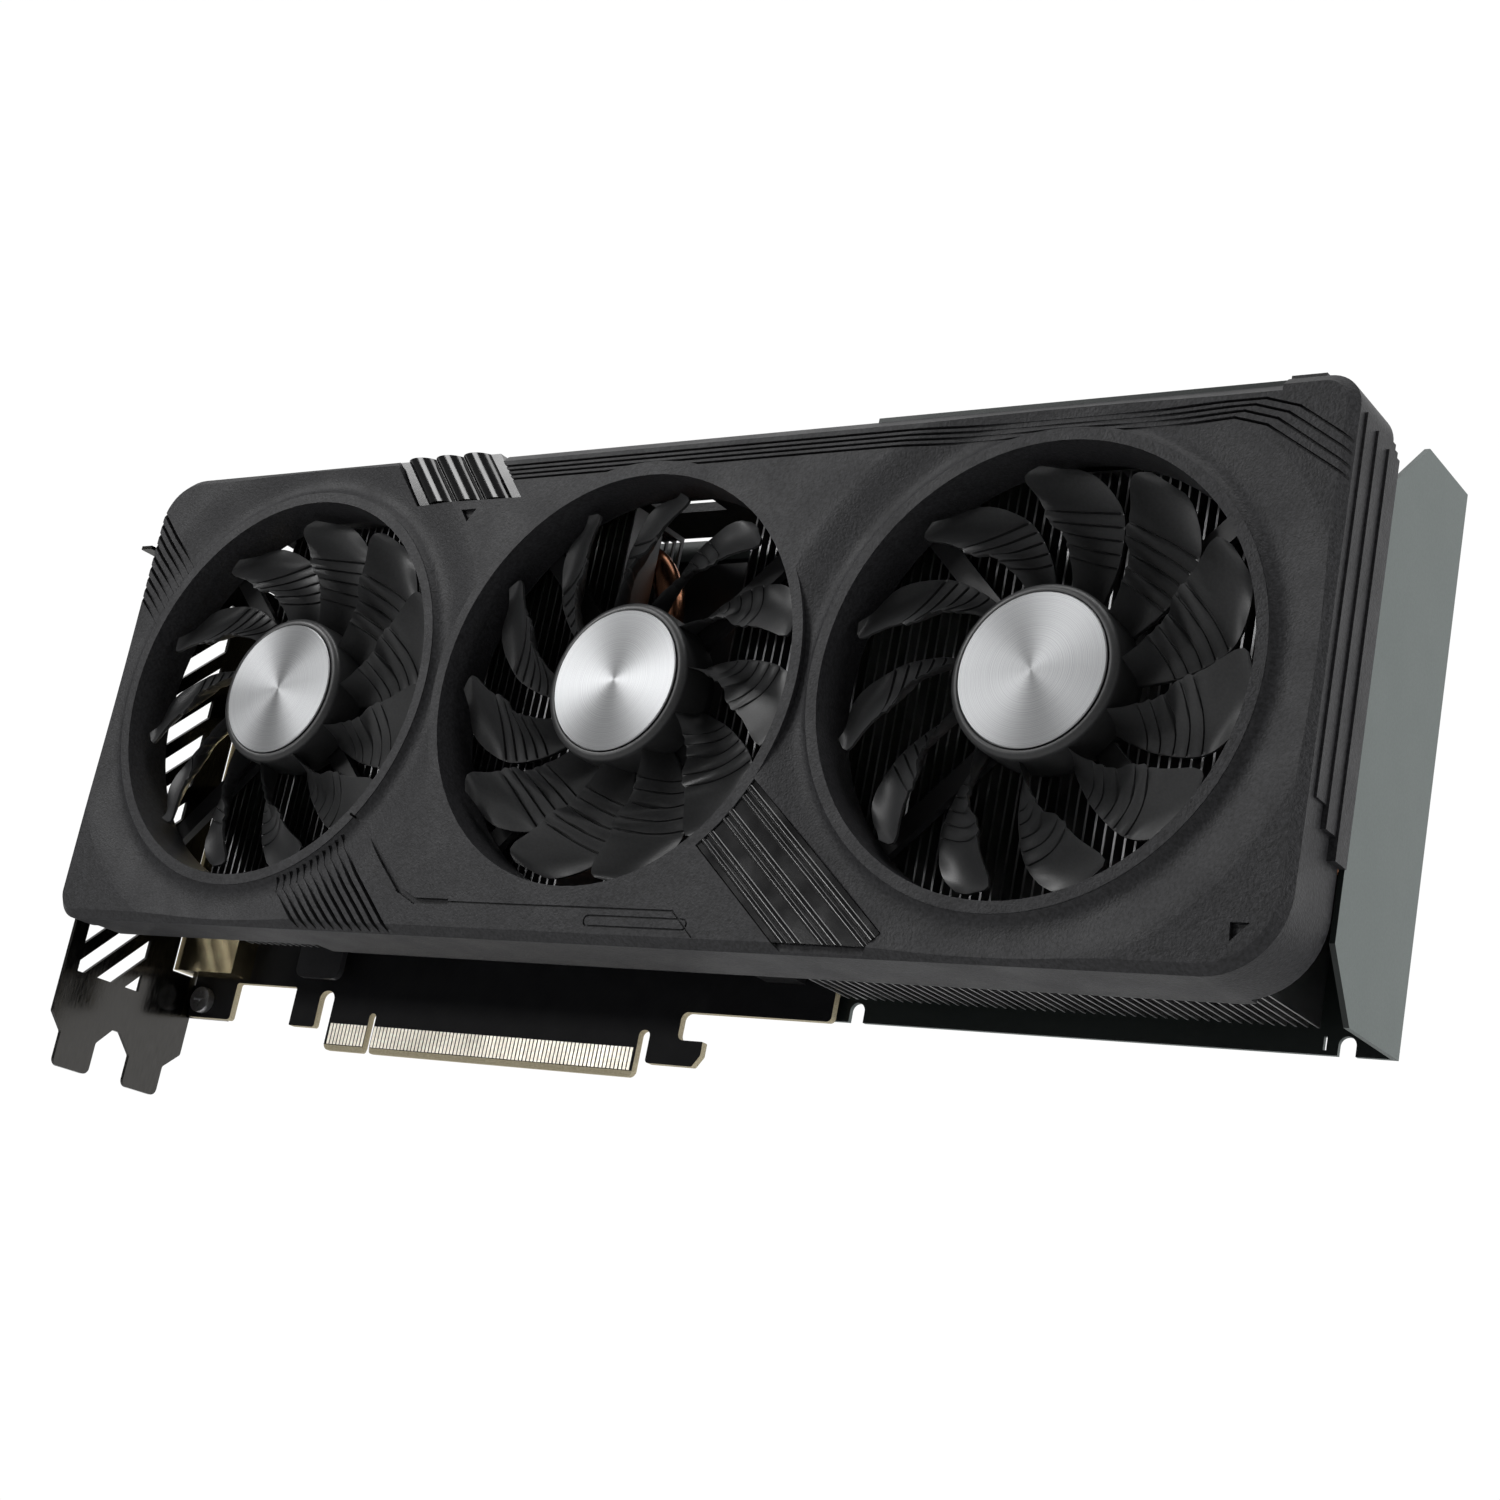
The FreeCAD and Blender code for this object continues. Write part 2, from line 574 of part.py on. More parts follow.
def rear_fins():
    """Shallow stack over the power stage, and a deep one behind the board's end."""
    shallow_x = (REAR_STACK_X[0], REAR_STACK_DEEP_X - FIN_PITCH)
    shallow_y = (FIN_FRONT, -14.0)
    deep_x = (REAR_STACK_DEEP_X, REAR_STACK_X[1])
    deep = fuse(fin_row(deep_x, (FIN_FRONT, -1.0), (REAR_STACK_BOTTOM, FIN_TOP)))
    for z in PIPE_Z:
        deep = deep.cut(rod_x(PIPE_Y, z, PIPE_HOLE_R, (120.0, 230.0)))
    tie = box((shallow_x[1] + FIN_T, REAR_STACK_DEEP_X), shallow_y, (FIN_TOP - FIN_T, FIN_TOP))
    shallow = fuse(fin_row(shallow_x, shallow_y, (REAR_STACK_BOTTOM + 2.0, FIN_TOP)) + [tie])
    return group([shallow, deep])


def heat_pipes():
    """Straight copper pipes from the base to the tail fins, with domed ends."""
    pipes = []
    for z in PIPE_Z:
        tube = rod_x(PIPE_Y, z, PIPE_R, PIPE_X)
        pipes.append(fuse([tube, Part.makeSphere(PIPE_R, V(PIPE_X[1], PIPE_Y, z))]))
    return group(pipes)


def heat_pipe_loop():
    """Copper pipe that leaves the base's saddle, turns back on itself and runs through the fins."""
    low = V(LOOP_BEND_X, LOOP_Y, LOOP_Z[0])
    high = V(LOOP_BEND_X, LOOP_Y, LOOP_Z[1])
    reach = (high - low).Length / 2
    middle = (low + high) * 0.5 + V(reach, 0, 0)
    start = V(14.0, LOOP_Y, LOOP_Z[0])
    end = V(-20.0, LOOP_Y, LOOP_Z[1])
    path = Part.Wire([Part.LineSegment(start, low).toShape(),
                      Part.Arc(low, middle, high).toShape(),
                      Part.LineSegment(high, end).toShape()])
    section = Part.Wire(Part.Circle(start, V(1, 0, 0), PIPE_R).toShape())
    return path.makePipeShell([section], True, False)


def heatsink_base():
    x_span = (GPU_X - BASE_HALF, GPU_X + BASE_HALF)
    z_span = (GPU_Z - BASE_HALF, GPU_Z + BASE_HALF)
    body = fuse([box(x_span, BASE_Y, z_span), box(SADDLE_X, (SADDLE_FRONT, BASE_Y[0] + 1.0), SADDLE_Z)])
    for z in PIPE_Z:
        body = body.cut(rod_x(PIPE_Y, z, PIPE_HOLE_R, (0.0, 90.0)))
    body = body.cut(rod_x(LOOP_Y, LOOP_Z[0], PIPE_HOLE_R, (0.0, 90.0)))
    for x, z in gpu_screw_places():
        body = body.cut(rod_y(x, z, 1.35, (-10.0, 0.0)))
    return body


def cold_plate():
    half = 22.0
    return box((GPU_X - half, GPU_X + half), (BASE_Y[1], -2.05), (GPU_Z - half, GPU_Z + half))


def component_plate():
    """Aluminium plate over the memory and power stage, with a hanging tab."""
    window = 22.8
    body = fuse([
        slab(rounded_rectangle((-10.0, 100.0), (21.0, 108.0), (3.0, 3.0, 3.0, 3.0)), PLATE_Y),
        slab(rounded_rectangle((-21.3, -8.4), (14.7, 27.0), (2.0, 2.0, 0.5, 2.0)), PLATE_Y),
    ])
    body = body.cut(box((GPU_X - window, GPU_X + window), (-6.0, 0.0), (GPU_Z - window, GPU_Z + window)))
    body = body.cut(box((SOCKET_X[0] - 2.2, 110.0), (-6.0, 0.0), (SOCKET_Z[0] - 1.0, 110.0)))
    for x, z in gpu_screw_places():
        body = body.cut(rod_y(x, z, 1.9, (-6.0, 0.0)))
    for x, z in BACKPLATE_SCREWS:
        body = body.cut(rod_y(x, z, 1.0, (-6.0, 0.0)))
    return body


def heatsink_tabs():
    """Angle tabs on top of the fins that the shroud is screwed to."""
    tabs = []
    for x in HEATSINK_TAB_X:
        foot = box((x - 4.0, x + 4.0), (-28.5, TAB_PLATE_Y[1]), (FIN_TOP, FIN_TOP + 0.7))
        plate = box((x - 4.0, x + 4.0), TAB_PLATE_Y, (FIN_TOP, 115.9))
        tabs.append(fuse([foot, plate]).cut(rod_y(x, HEATSINK_SCREW_Z, 1.15, (-22.0, -18.0))))
    return group(tabs)


def shroud_screws():
    return group([small_screw(x, HEATSINK_SCREW_Z, 1.9, 0.95, (TAB_PLATE_Y[1], TAB_PLATE_Y[1] + 1.1), -26.0)
                  for x in HEATSINK_TAB_X])


# ---------------------------------------------------------------- circuit board
BRACKET_SCREWS = ((-52.7, 8.6), (-52.7, 101.0))
BACKPLATE_SCREWS = ((-6.0, 25.0), (-6.0, 104.0), (96.0, 25.0), (86.0, 104.0))

BOARD_OUTLINE = [
    (BOARD_X[0], 4.8, 0.6), (-43.5, 4.8, 0.8), (-43.5, 13.3, 0.6), (-24.6, 13.3, 0.6),
    (-24.6, 4.7, 0.3), (-16.9, 4.7, 0.6), (-17.0, 13.0, 2.0), (FINGER_X[0], 13.0, 2.0),
    (FINGER_X[0], 0.0, 1.2), (-KEY_HALF, 0.0, 0.5), (-KEY_HALF, 8.7, 0.9), (KEY_HALF, 8.7, 0.9),
    (KEY_HALF, 0.0, 0.5), (FINGER_X[1], 0.0, 1.2), (FINGER_X[1], 9.6, 1.2), (75.3, 9.6, 1.2),
    (75.3, 3.0, 0.8), (86.9, 3.0, 0.5), (88.5, 5.3, 0.5), (88.5, 8.1, 0.3),
    (82.2, 8.1, 1.2), (82.2, 13.8, 1.6), (BOARD_X[1], 13.8, 1.0), (BOARD_X[1], BOARD_TOP, 2.0),
    (BOARD_X[0], BOARD_TOP, 1.0),
]


def gpu_screw_places():
    return [(GPU_X + sx * GPU_SCREW_HALF, GPU_Z + sz * GPU_SCREW_HALF) for sx in (-1, 1) for sz in (-1, 1)]


def circuit_board():
    body = slab(BOARD_OUTLINE, (0.0, BOARD_T))
    bevel = 0.45
    for y, sign in ((0.0, 1), (BOARD_T, -1)):
        wedge = panel([(y - sign, -0.5), (y + sign * bevel, -0.5), (y - sign * 0.01, 1.2), (y - sign, 1.2)],
                      (FINGER_X[0] - 1.0, FINGER_X[1] + 1.0))
        body = body.cut(wedge)
    for x, z in gpu_screw_places():
        body = body.cut(rod_y(x, z, 1.7, (-1.0, 3.0)))
    for x, z in BACKPLATE_SCREWS:
        body = body.cut(rod_y(x, z, 1.15, (-1.0, 3.0)))
    for x, z in BRACKET_SCREWS:
        body = body.cut(rod_y(x, z, 1.5, (-1.0, 3.0)))
    return body


def edge_contacts():
    """Gold fingers on both faces, either side of the key notch."""
    pads = []
    for first, count in ((-11.5, 11), (1.5, 71)):
        for n in range(count):
            x = first + FINGER_PITCH * n
            pads.append(box((x - 0.35, x + 0.35), (-0.05, 0.0), FINGER_Z))
            pads.append(box((x - 0.35, x + 0.35), (BOARD_T, BOARD_T + 0.05), FINGER_Z))
    return group(pads)


def gpu_package():
    half = 20.0
    return box((GPU_X - half, GPU_X + half), (-1.2, 0.0), (GPU_Z - half, GPU_Z + half))


def gpu_die():
    return box((GPU_X - 9.0, GPU_X + 9.0), (-2.0, -1.2), (GPU_Z - 7.5, GPU_Z + 7.5))


MEMORY_CHIPS = ((-3.0, 48.0), (-3.0, 76.0), (29.0, 100.0), (53.0, 100.0),
                (82.0, 48.0), (82.0, 76.0), (29.0, 28.0), (53.0, 28.0))
CHIP_HALF = (7.0, 6.0)
MOSFET_Z = (34.0, 43.0, 52.0, 61.0, 70.0, 79.0, 88.0)


def memory_chips():
    hx, hz = CHIP_HALF
    return group([box((x - hx, x + hx), (-1.2, 0.0), (z - hz, z + hz)) for x, z in MEMORY_CHIPS])


def power_transistors():
    return group([box((92.5, 98.5), (-1.0, 0.0), (z - 2.6, z + 2.6)) for z in MOSFET_Z])


def thermal_pads():
    hx, hz = CHIP_HALF
    pads = [box((x - hx, x + hx), (PLATE_Y[1], -1.2), (z - hz, z + hz)) for x, z in MEMORY_CHIPS]
    pads.append(box((92.5, 98.5), (PLATE_Y[1], -1.0), (MOSFET_Z[0] - 3.0, MOSFET_Z[-1] + 3.0)))
    return group(pads)


def power_chokes():
    """Square inductors beside the transistors, with soft upper edges."""
    chokes = []
    for z in MOSFET_Z:
        body = box((102.0, 109.0), (-4.2, 0.0), (z - 3.5, z + 3.5))
        top = [edge for edge in body.Edges if abs(edge.BoundBox.YMax + 4.2) < 1e-6]
        chokes.append(body.makeChamfer(0.5, top))
    return group(chokes)


def power_capacitors():
    """Round can capacitors along the board's end, clear of the heat pipes."""
    cans = []
    for z in (25.0, 33.5, 75.0, 83.5, 92.0):
        foot = box((110.6, 116.6), (-0.9, 0.0), (z - 3.0, z + 3.0))
        cans.append(fuse([foot, rod_y(113.6, z, 2.9, (-7.2, -0.9))]))
    return group(cans)


SOCKET_X = (95.2, 114.4)
SOCKET_Y = (-11.6, 0.0)
SOCKET_Z = (99.0, 114.6)


def power_cells():
    """Centres of the eight cells of the power socket, as (x, y)."""
    return [(98.5 + 4.2 * column, -8.2 + 4.2 * row) for column in range(4) for row in range(2)]


def power_socket():
    body = box(SOCKET_X, SOCKET_Y, SOCKET_Z)
    latch = box((102.6, 107.0), (SOCKET_Y[0] - 1.4, SOCKET_Y[0]), (110.6, 112.4))
    body = body.fuse(latch)
    for x, y in power_cells():
        body = body.cut(box((x - 1.75, x + 1.75), (y - 1.75, y + 1.75), (102.0, 120.0)))
    return body


def power_pins():
    return group([box((x - 0.5, x + 0.5), (y - 0.5, y + 0.5), (102.0, 112.4)) for x, y in power_cells()])


def fan_headers():
    headers = []
    for z in (20.8, 25.6):
        body = box((101.0, 110.0), (-4.6, 0.0), (z, z + 4.0))
        headers.append(body.cut(box((101.7, 109.3), (-5.0, -1.2), (z + 0.7, z + 3.3))))
    return group(headers)


# ---------------------------------------------------------------- video sockets
def port_shells(places, half, height):
    """Folded metal shells, open towards the bracket."""
    shells = []
    for z in places:
        shell = box(PORT_X, (-height, 0.0), (z - half, z + half))
        hollow = box((PORT_X[0] - 1.0, PORT_X[1] - 0.8), (-height + 0.5, -0.5),
                     (z - half + 0.5, z + half - 0.5))
        shells.append(shell.cut(hollow))
    return group(shells)


def display_sockets():
    return port_shells((PORT_Z[0], PORT_Z[2]), 8.4, 6.0)


def hdmi_sockets():
    return port_shells((PORT_Z[1], PORT_Z[3]), 7.6, 6.2)


def socket_tongues():
    """Insulating blades that carry the contacts inside each video socket."""
    x_span = (PORT_X[0] + 1.2, PORT_X[1] - 0.8)
    return group([box(x_span, (-3.8, -2.6), (z - 5.8, z + 5.8)) for z in PORT_Z])


# ---------------------------------------------------------------- slot bracket
VENT_PITCH = 8.2
VENT_WIDTH = 4.4
VENT_Y = (-33.1, -15.0)
VENT_Z = (6.5, 99.0)


def vent_cut():
    """Slanted slots at 45 degrees, kept inside the vent's frame."""
    slots = []
    offset = 21.2
    while offset < VENT_Z[1] - VENT_Y[0]:
        low = offset
        high = offset + VENT_WIDTH
        points = [(VENT_Y[0], VENT_Y[0] + low), (VENT_Y[1], VENT_Y[1] + low),
                  (VENT_Y[1], VENT_Y[1] + high), (VENT_Y[0], VENT_Y[0] + high)]
        slots.append(panel(points, (-70.0, -50.0)))
        offset += VENT_PITCH
    frame = box((-65.0, -52.0), VENT_Y, VENT_Z)
    return group([slot.common(frame) for slot in slots])


def bracket_outline():
    """(y, z) outline of the bracket's upright plate with its two slot tabs."""
    y0, y1 = BRACKET_Y
    tab_b = (-12.9, -12.9 + TAB_WIDTH)
    tab_a = (tab_b[0] - SLOT_PITCH, tab_b[1] - SLOT_PITCH)
    return [
        (y0, BRACKET_TOP), (y0, -3.4, 0.8), (tab_a[0], -7.1, 0.8), (tab_a[0], TAB_BOTTOM, 1.6),
        (tab_a[1], TAB_BOTTOM, 1.6), (tab_a[1], -7.3, 0.8), (-19.3, -3.4, 0.6), (-17.1, -3.4, 0.6),
        (tab_b[0], -7.6, 0.8), (tab_b[0], TAB_BOTTOM, 1.6), (tab_b[1], TAB_BOTTOM, 1.6),
        (tab_b[1], -7.7, 0.8), (y1, -4.0, 0.8), (y1, BRACKET_TOP),
    ]


def io_bracket():
    plate = panel(bracket_outline(), BRACKET_X)
    flange_x = (BRACKET_X[0] - FLANGE_REACH, BRACKET_X[1])
    flange = box(flange_x, BRACKET_Y, (BRACKET_TOP, BRACKET_TOP + 0.86))
    parts = [plate, flange]
    for x, z in BRACKET_SCREWS:
        parts.append(box((BRACKET_X[0], -46.2), (BOARD_T, BOARD_T + 0.9), (z - 3.8, z + 3.8)))
    body = fuse(parts)
    middle = flange_x[0] + 5.6
    body = body.cut(rod_z(middle, BRACKET_HOLE_Y, BRACKET_HOLE_R, (100.0, 110.0)))
    notch = fuse([rod_z(middle, BRACKET_HOLE_Y - SLOT_PITCH + 2.2, BRACKET_HOLE_R, (100.0, 110.0)),
                  box((middle - BRACKET_HOLE_R, middle + BRACKET_HOLE_R),
                      (-50.0, BRACKET_HOLE_Y - SLOT_PITCH + 2.2), (100.0, 110.0))])
    body = body.cut(notch).cut(vent_cut())
    for z in PORT_Z:
        body = body.cut(box((-65.0, -57.0), (-6.7, 0.3), (z - 8.8, z + 8.8)))
    for x, z in BRACKET_SCREWS:
        body = body.cut(rod_y(x, z, 1.3, (0.0, 4.0)))
    return body


def bracket_screws():
    return group([small_screw(x, z, SCREW_HEAD_R, 1.25, (0.0, -1.8), 3.0) for x, z in BRACKET_SCREWS])


# ---------------------------------------------------------------- backplate
def backplate():
    """Folded sheet: rear plate, flange over the top edge and flange round the tail."""
    x0, x1 = BACKPLATE_X
    z0, z1 = BACKPLATE_Z
    rear = slab([(x0, z0, 3.0), (x1, z0), (x1, z1), (x0, z1, 3.0)], BACKPLATE_Y)
    top_x0, top_x1 = TOP_FLANGE_X
    riser = box(TOP_FLANGE_X, BACKPLATE_Y, (z1 - 2.0, TOP_FLANGE_Z[1]))
    top = box((top_x0, top_x1), (-40.6, BACKPLATE_Y[1]), TOP_FLANGE_Z)
    y1 = BACKPLATE_Y[1]
    front = TAIL_FLANGE_FRONT
    tail_outline = [(y1, z0), (-17.9, z0), (front, 26.0), (front, 105.6), (-15.0, z1), (y1, z1)]
    tail = panel(tail_outline, (x1 - 1.0, x1))
    body = fuse([rear, riser, top, tail])
    window = BASE_HALF + 0.5
    body = body.cut(slab(rounded_rectangle((GPU_X - window, GPU_X + window),
                                           (GPU_Z - window, GPU_Z + window), (4.0,) * 4), (0.0, 10.0)))
    body = body.cut(box((119.0, 122.2), (0.0, 10.0), (10.0, 17.0)))
    body = body.cut(rod_y(120.6, 17.0, 1.6, (0.0, 10.0)))
    body = body.cut(box((217.2, 220.4), (0.0, 10.0), (10.0, 16.6)))
    body = body.cut(rod_y(218.8, 16.6, 1.6, (0.0, 10.0)))
    body = body.cut(box((214.5, 215.1), (0.0, 10.0), (15.6, 18.0)))
    for n in range(9):
        slot = slab(rounded_rectangle((136.0 + 7.6 * n, 139.6 + 7.6 * n), (34.0, 100.0), (1.75,) * 4),
                    (0.0, 10.0))
        body = body.cut(turned(slot, 137.8 + 7.6 * n, 67.0, -12.0))
    for x, z in BACKPLATE_SCREWS:
        body = body.cut(rod_y(x, z, 1.15, (0.0, 10.0)))
    return body


def backplate_spacers():
    return group([ring_y(x, z, 1.2, 2.6, (BOARD_T, BACKPLATE_Y[0])) for x, z in BACKPLATE_SCREWS])


def backplate_screws():
    head_y = (BACKPLATE_Y[1], BACKPLATE_Y[1] + 1.2)
    return group([small_screw(x, z, 2.3, 0.95, head_y, -4.6) for x, z in BACKPLATE_SCREWS])


RETAINER_Y = (2.0, 3.0)
SPRING_TOP = 4.6


def retention_bracket():
    """Cross-shaped spring plate behind the GPU."""
    reach = GPU_SCREW_HALF * math.sqrt(2.0)
    bar = box((GPU_X - reach, GPU_X + reach), RETAINER_Y, (GPU_Z - 3.5, GPU_Z + 3.5))
    parts = [turned(bar, GPU_X, GPU_Z, 45.0), turned(bar, GPU_X, GPU_Z, -45.0)]
    parts += [rod_y(x, z, 4.0, RETAINER_Y) for x, z in gpu_screw_places()]
    parts.append(rod_y(GPU_X, GPU_Z, 9.0, RETAINER_Y))
    body = fuse(parts)
    for x, z in gpu_screw_places():
        body = body.cut(rod_y(x, z, 1.5, (0.0, 5.0)))
    return body


def retention_screws():
    head_y = (SPRING_TOP, SPRING_TOP + 1.2)
    return group([small_screw(x, z, 2.6, 1.3, head_y, -9.0) for x, z in gpu_screw_places()])


def retention_springs():
    return group([ring_y(x, z, 1.5, 2.4, (RETAINER_Y[1], SPRING_TOP)) for x, z in gpu_screw_places()])


# ---------------------------------------------------------------- assembly
def nodes():
    parts = {
        "shroud": shroud(),
        "tube_accent": tube_accent(),
        "strip_accent": strip_accent(),
        "fan_screws": fan_screws(),
        "front_fin_stack": front_fins(),
        "rear_fin_stack": rear_fins(),
        "heat_pipes": heat_pipes(),
        "heat_pipe_loop": heat_pipe_loop(),
        "heatsink_base": heatsink_base(),
        "cold_plate": cold_plate(),
        "component_plate": component_plate(),
        "heatsink_tabs": heatsink_tabs(),
        "shroud_screws": shroud_screws(),
        "circuit_board": circuit_board(),
        "edge_contacts": edge_contacts(),
        "gpu_package": gpu_package(),
        "gpu_die": gpu_die(),
        "memory_chips": memory_chips(),
        "power_transistors": power_transistors(),
        "thermal_pads": thermal_pads(),
        "power_chokes": power_chokes(),
        "power_capacitors": power_capacitors(),
        "power_socket": power_socket(),
        "power_pins": power_pins(),
        "fan_headers": fan_headers(),
        "display_sockets": display_sockets(),
        "hdmi_sockets": hdmi_sockets(),
        "socket_tongues": socket_tongues(),
        "io_bracket": io_bracket(),
        "bracket_screws": bracket_screws(),
        "backplate": backplate(),
        "backplate_spacers": backplate_spacers(),
        "backplate_screws": backplate_screws(),
        "retention_bracket": retention_bracket(),
        "retention_screws": retention_screws(),
        "retention_springs": retention_springs(),
    }
    for name, x, sweep, tip_angle in zip(FAN_NAMES, FAN_X, FAN_SWEEP, FAN_TIP_ANGLE):
        parts["fan_%s_rotor" % name] = rotor(x, sweep, tip_angle)
        parts["fan_%s_cap" % name] = hub_cap(x)
        parts["fan_%s_magnet" % name] = magnet_ring(x)
        parts["fan_%s_shaft" % name] = fan_shaft(x)
        parts["fan_%s_bearing" % name] = bearing(x)
        parts["fan_%s_stator" % name] = stator(x)
        parts["fan_%s_frame" % name] = fan_frame(x)
    return parts


def main():
    os.makedirs("parts", exist_ok=True)
    for name, shape in nodes().items():
        assert shape.isValid(), name
        assert len(shape.Solids) >= 1, name
        shape.exportStep("parts/%s.step" % name)
        print(name, len(shape.Solids), "solids", round(shape.Volume, 1), "mm3")


main()
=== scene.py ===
"""Looks of the triple-fan graphics card: materials, detailed rotors, camera and light.

Places on the card are written in millimetres in the row frame and turned into metres by mm();
the studio around it (floor and lights) is in metres.
"""

import math

import bmesh
import bpy
from mathutils import Matrix, Vector


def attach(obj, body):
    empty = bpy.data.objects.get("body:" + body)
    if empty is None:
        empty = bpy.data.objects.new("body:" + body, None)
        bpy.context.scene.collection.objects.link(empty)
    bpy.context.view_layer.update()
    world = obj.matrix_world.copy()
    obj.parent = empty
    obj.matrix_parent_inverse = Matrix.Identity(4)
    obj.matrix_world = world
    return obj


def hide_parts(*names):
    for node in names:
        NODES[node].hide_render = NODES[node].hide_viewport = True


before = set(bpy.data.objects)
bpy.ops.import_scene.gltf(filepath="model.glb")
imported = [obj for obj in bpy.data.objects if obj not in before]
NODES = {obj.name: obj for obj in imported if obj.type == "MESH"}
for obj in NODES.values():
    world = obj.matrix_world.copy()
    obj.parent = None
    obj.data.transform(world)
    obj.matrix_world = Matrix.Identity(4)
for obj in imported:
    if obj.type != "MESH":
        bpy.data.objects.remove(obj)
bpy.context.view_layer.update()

# fan name, hub axis x, blade sweep direction, angle of the first blade's tip in degrees
FANS = (("left", -7.6, 1, 1.5), ("middle", 82.8, -1, 12.6), ("right", 173.2, 1, 5.4))
FAN_Z = 68.0


def mm(*values):
    return Vector(values) * 0.001


# ---------------------------------------------------------------- materials
class Shader:
    """A principled material and the nodes wired into it."""

    def __init__(self, name, color, rough, metal=0.0, spec=0.5):
        self.material = bpy.data.materials.new(name)
        self.material.use_nodes = True
        self.tree = self.material.node_tree
        self.bsdf = self.tree.nodes["Principled BSDF"]
        self.bsdf.inputs["Base Color"].default_value = (*color, 1.0)
        self.bsdf.inputs["Roughness"].default_value = rough
        self.bsdf.inputs["Metallic"].default_value = metal
        self.bsdf.inputs["Specular IOR Level"].default_value = spec

    def node(self, kind, **sockets):
        made = self.tree.nodes.new(kind)
        for socket, value in sockets.items():
            made.inputs[socket.replace("_", " ")].default_value = value
        return made

    def link(self, source, target):
        self.tree.links.new(source, target)

    def coords(self, stretch=(1, 1, 1)):
        """Object coordinates in millimetres, stretched along an axis for grain."""
        place = self.node("ShaderNodeTexCoord")
        scale = self.node("ShaderNodeMapping", Scale=[1000.0 * s for s in stretch])
        self.link(place.outputs["Object"], scale.inputs["Vector"])
        return scale.outputs["Vector"]

    def noise(self, size, detail=3.0, stretch=(1, 1, 1)):
        """Noise with features of about size millimetres."""
        made = self.node("ShaderNodeTexNoise", Scale=1.0 / size, Detail=detail)
        self.link(self.coords(stretch), made.inputs["Vector"])
        return made.outputs["Fac"]

    def spread(self, value, low, high):
        """A noise value mapped from its usual range to low..high."""
        made = self.node("ShaderNodeMapRange", From_Min=0.3, From_Max=0.7, To_Min=low, To_Max=high)
        self.link(value, made.inputs["Value"])
        return made.outputs["Result"]

    def shade(self, value, dark, light):
        """Base colour between dark and light, following a value."""
        made = self.node("ShaderNodeMix")
        made.data_type = "RGBA"
        made.inputs["A"].default_value = (*dark, 1.0)
        made.inputs["B"].default_value = (*light, 1.0)
        self.link(value, made.inputs["Factor"])
        self.link(made.outputs["Result"], self.bsdf.inputs["Base Color"])
        return made

    def bump(self, value, height_mm, strength=1.0):
        """Fine relief of height_mm, following a value."""
        made = self.node("ShaderNodeBump", Strength=strength, Distance=height_mm * 0.001)
        self.link(value, made.inputs["Height"])
        self.link(made.outputs["Normal"], self.bsdf.inputs["Normal"])


def grained(name, color, rough, grain_mm, height_mm, metal=0.0, spec=0.5, contrast=0.12):
    """Moulded or coated surface: fine grain, faint mottling, uneven gloss."""
    s = Shader(name, color, rough, metal, spec)
    s.bump(s.noise(grain_mm, 2.0), height_mm)
    cloud = s.noise(9.0, 4.0)
    s.link(s.spread(cloud, rough - 0.05, rough + 0.05), s.bsdf.inputs["Roughness"])
    dark = [c * (1.0 - contrast) for c in color]
    light = [c * (1.0 + contrast) for c in color]
    s.shade(s.spread(s.noise(grain_mm * 1.6, 1.0), 0.0, 1.0), dark, light)
    return s.material


def brushed(name, color, rough, stretch, metal=1.0, contrast=0.12):
    """Metal with straight drawn grain; stretch is small along the grain."""
    s = Shader(name, color, rough, metal)
    streak = s.noise(0.35, 3.0, stretch)
    s.bump(streak, 0.01, 0.5)
    s.link(s.spread(streak, rough - 0.07, rough + 0.07), s.bsdf.inputs["Roughness"])
    dark = [c * (1.0 - contrast) for c in color]
    s.shade(s.spread(streak, 0.0, 1.0), dark, color)
    return s.material


def spun_cap(name, centre):
    """Lathe-turned aluminium: circular grain about the hub's own axis."""
    s = Shader(name, (0.40, 0.405, 0.41), 0.40, 1.0)
    place = s.node("ShaderNodeTexCoord")
    shift = s.node("ShaderNodeMapping", Location=-centre)
    s.link(place.outputs["Object"], shift.inputs["Vector"])
    split = s.node("ShaderNodeSeparateXYZ")
    s.link(shift.outputs["Vector"], split.inputs["Vector"])
    flat = s.node("ShaderNodeCombineXYZ")
    s.link(split.outputs["X"], flat.inputs["X"])
    s.link(split.outputs["Z"], flat.inputs["Y"])
    length = s.node("ShaderNodeVectorMath")
    length.operation = "LENGTH"
    s.link(flat.outputs["Vector"], length.inputs[0])
    rings = s.node("ShaderNodeTexNoise", Scale=9000.0, Detail=2.0)
    rings.noise_dimensions = "1D"
    s.link(length.outputs["Value"], rings.inputs["W"])
    s.link(s.spread(rings.outputs["Fac"], 0.34, 0.46), s.bsdf.inputs["Roughness"])
    s.shade(s.spread(rings.outputs["Fac"], 0.0, 1.0), (0.23, 0.234, 0.24), (0.42, 0.425, 0.432))
    s.bump(rings.outputs["Fac"], 0.004, 0.35)
    tangent = s.node("ShaderNodeTangent")
    tangent.direction_type = "RADIAL"
    tangent.axis = "Y"
    s.link(tangent.outputs["Tangent"], s.bsdf.inputs["Tangent"])
    s.bsdf.inputs["Anisotropic"].default_value = 0.8
    return s.material


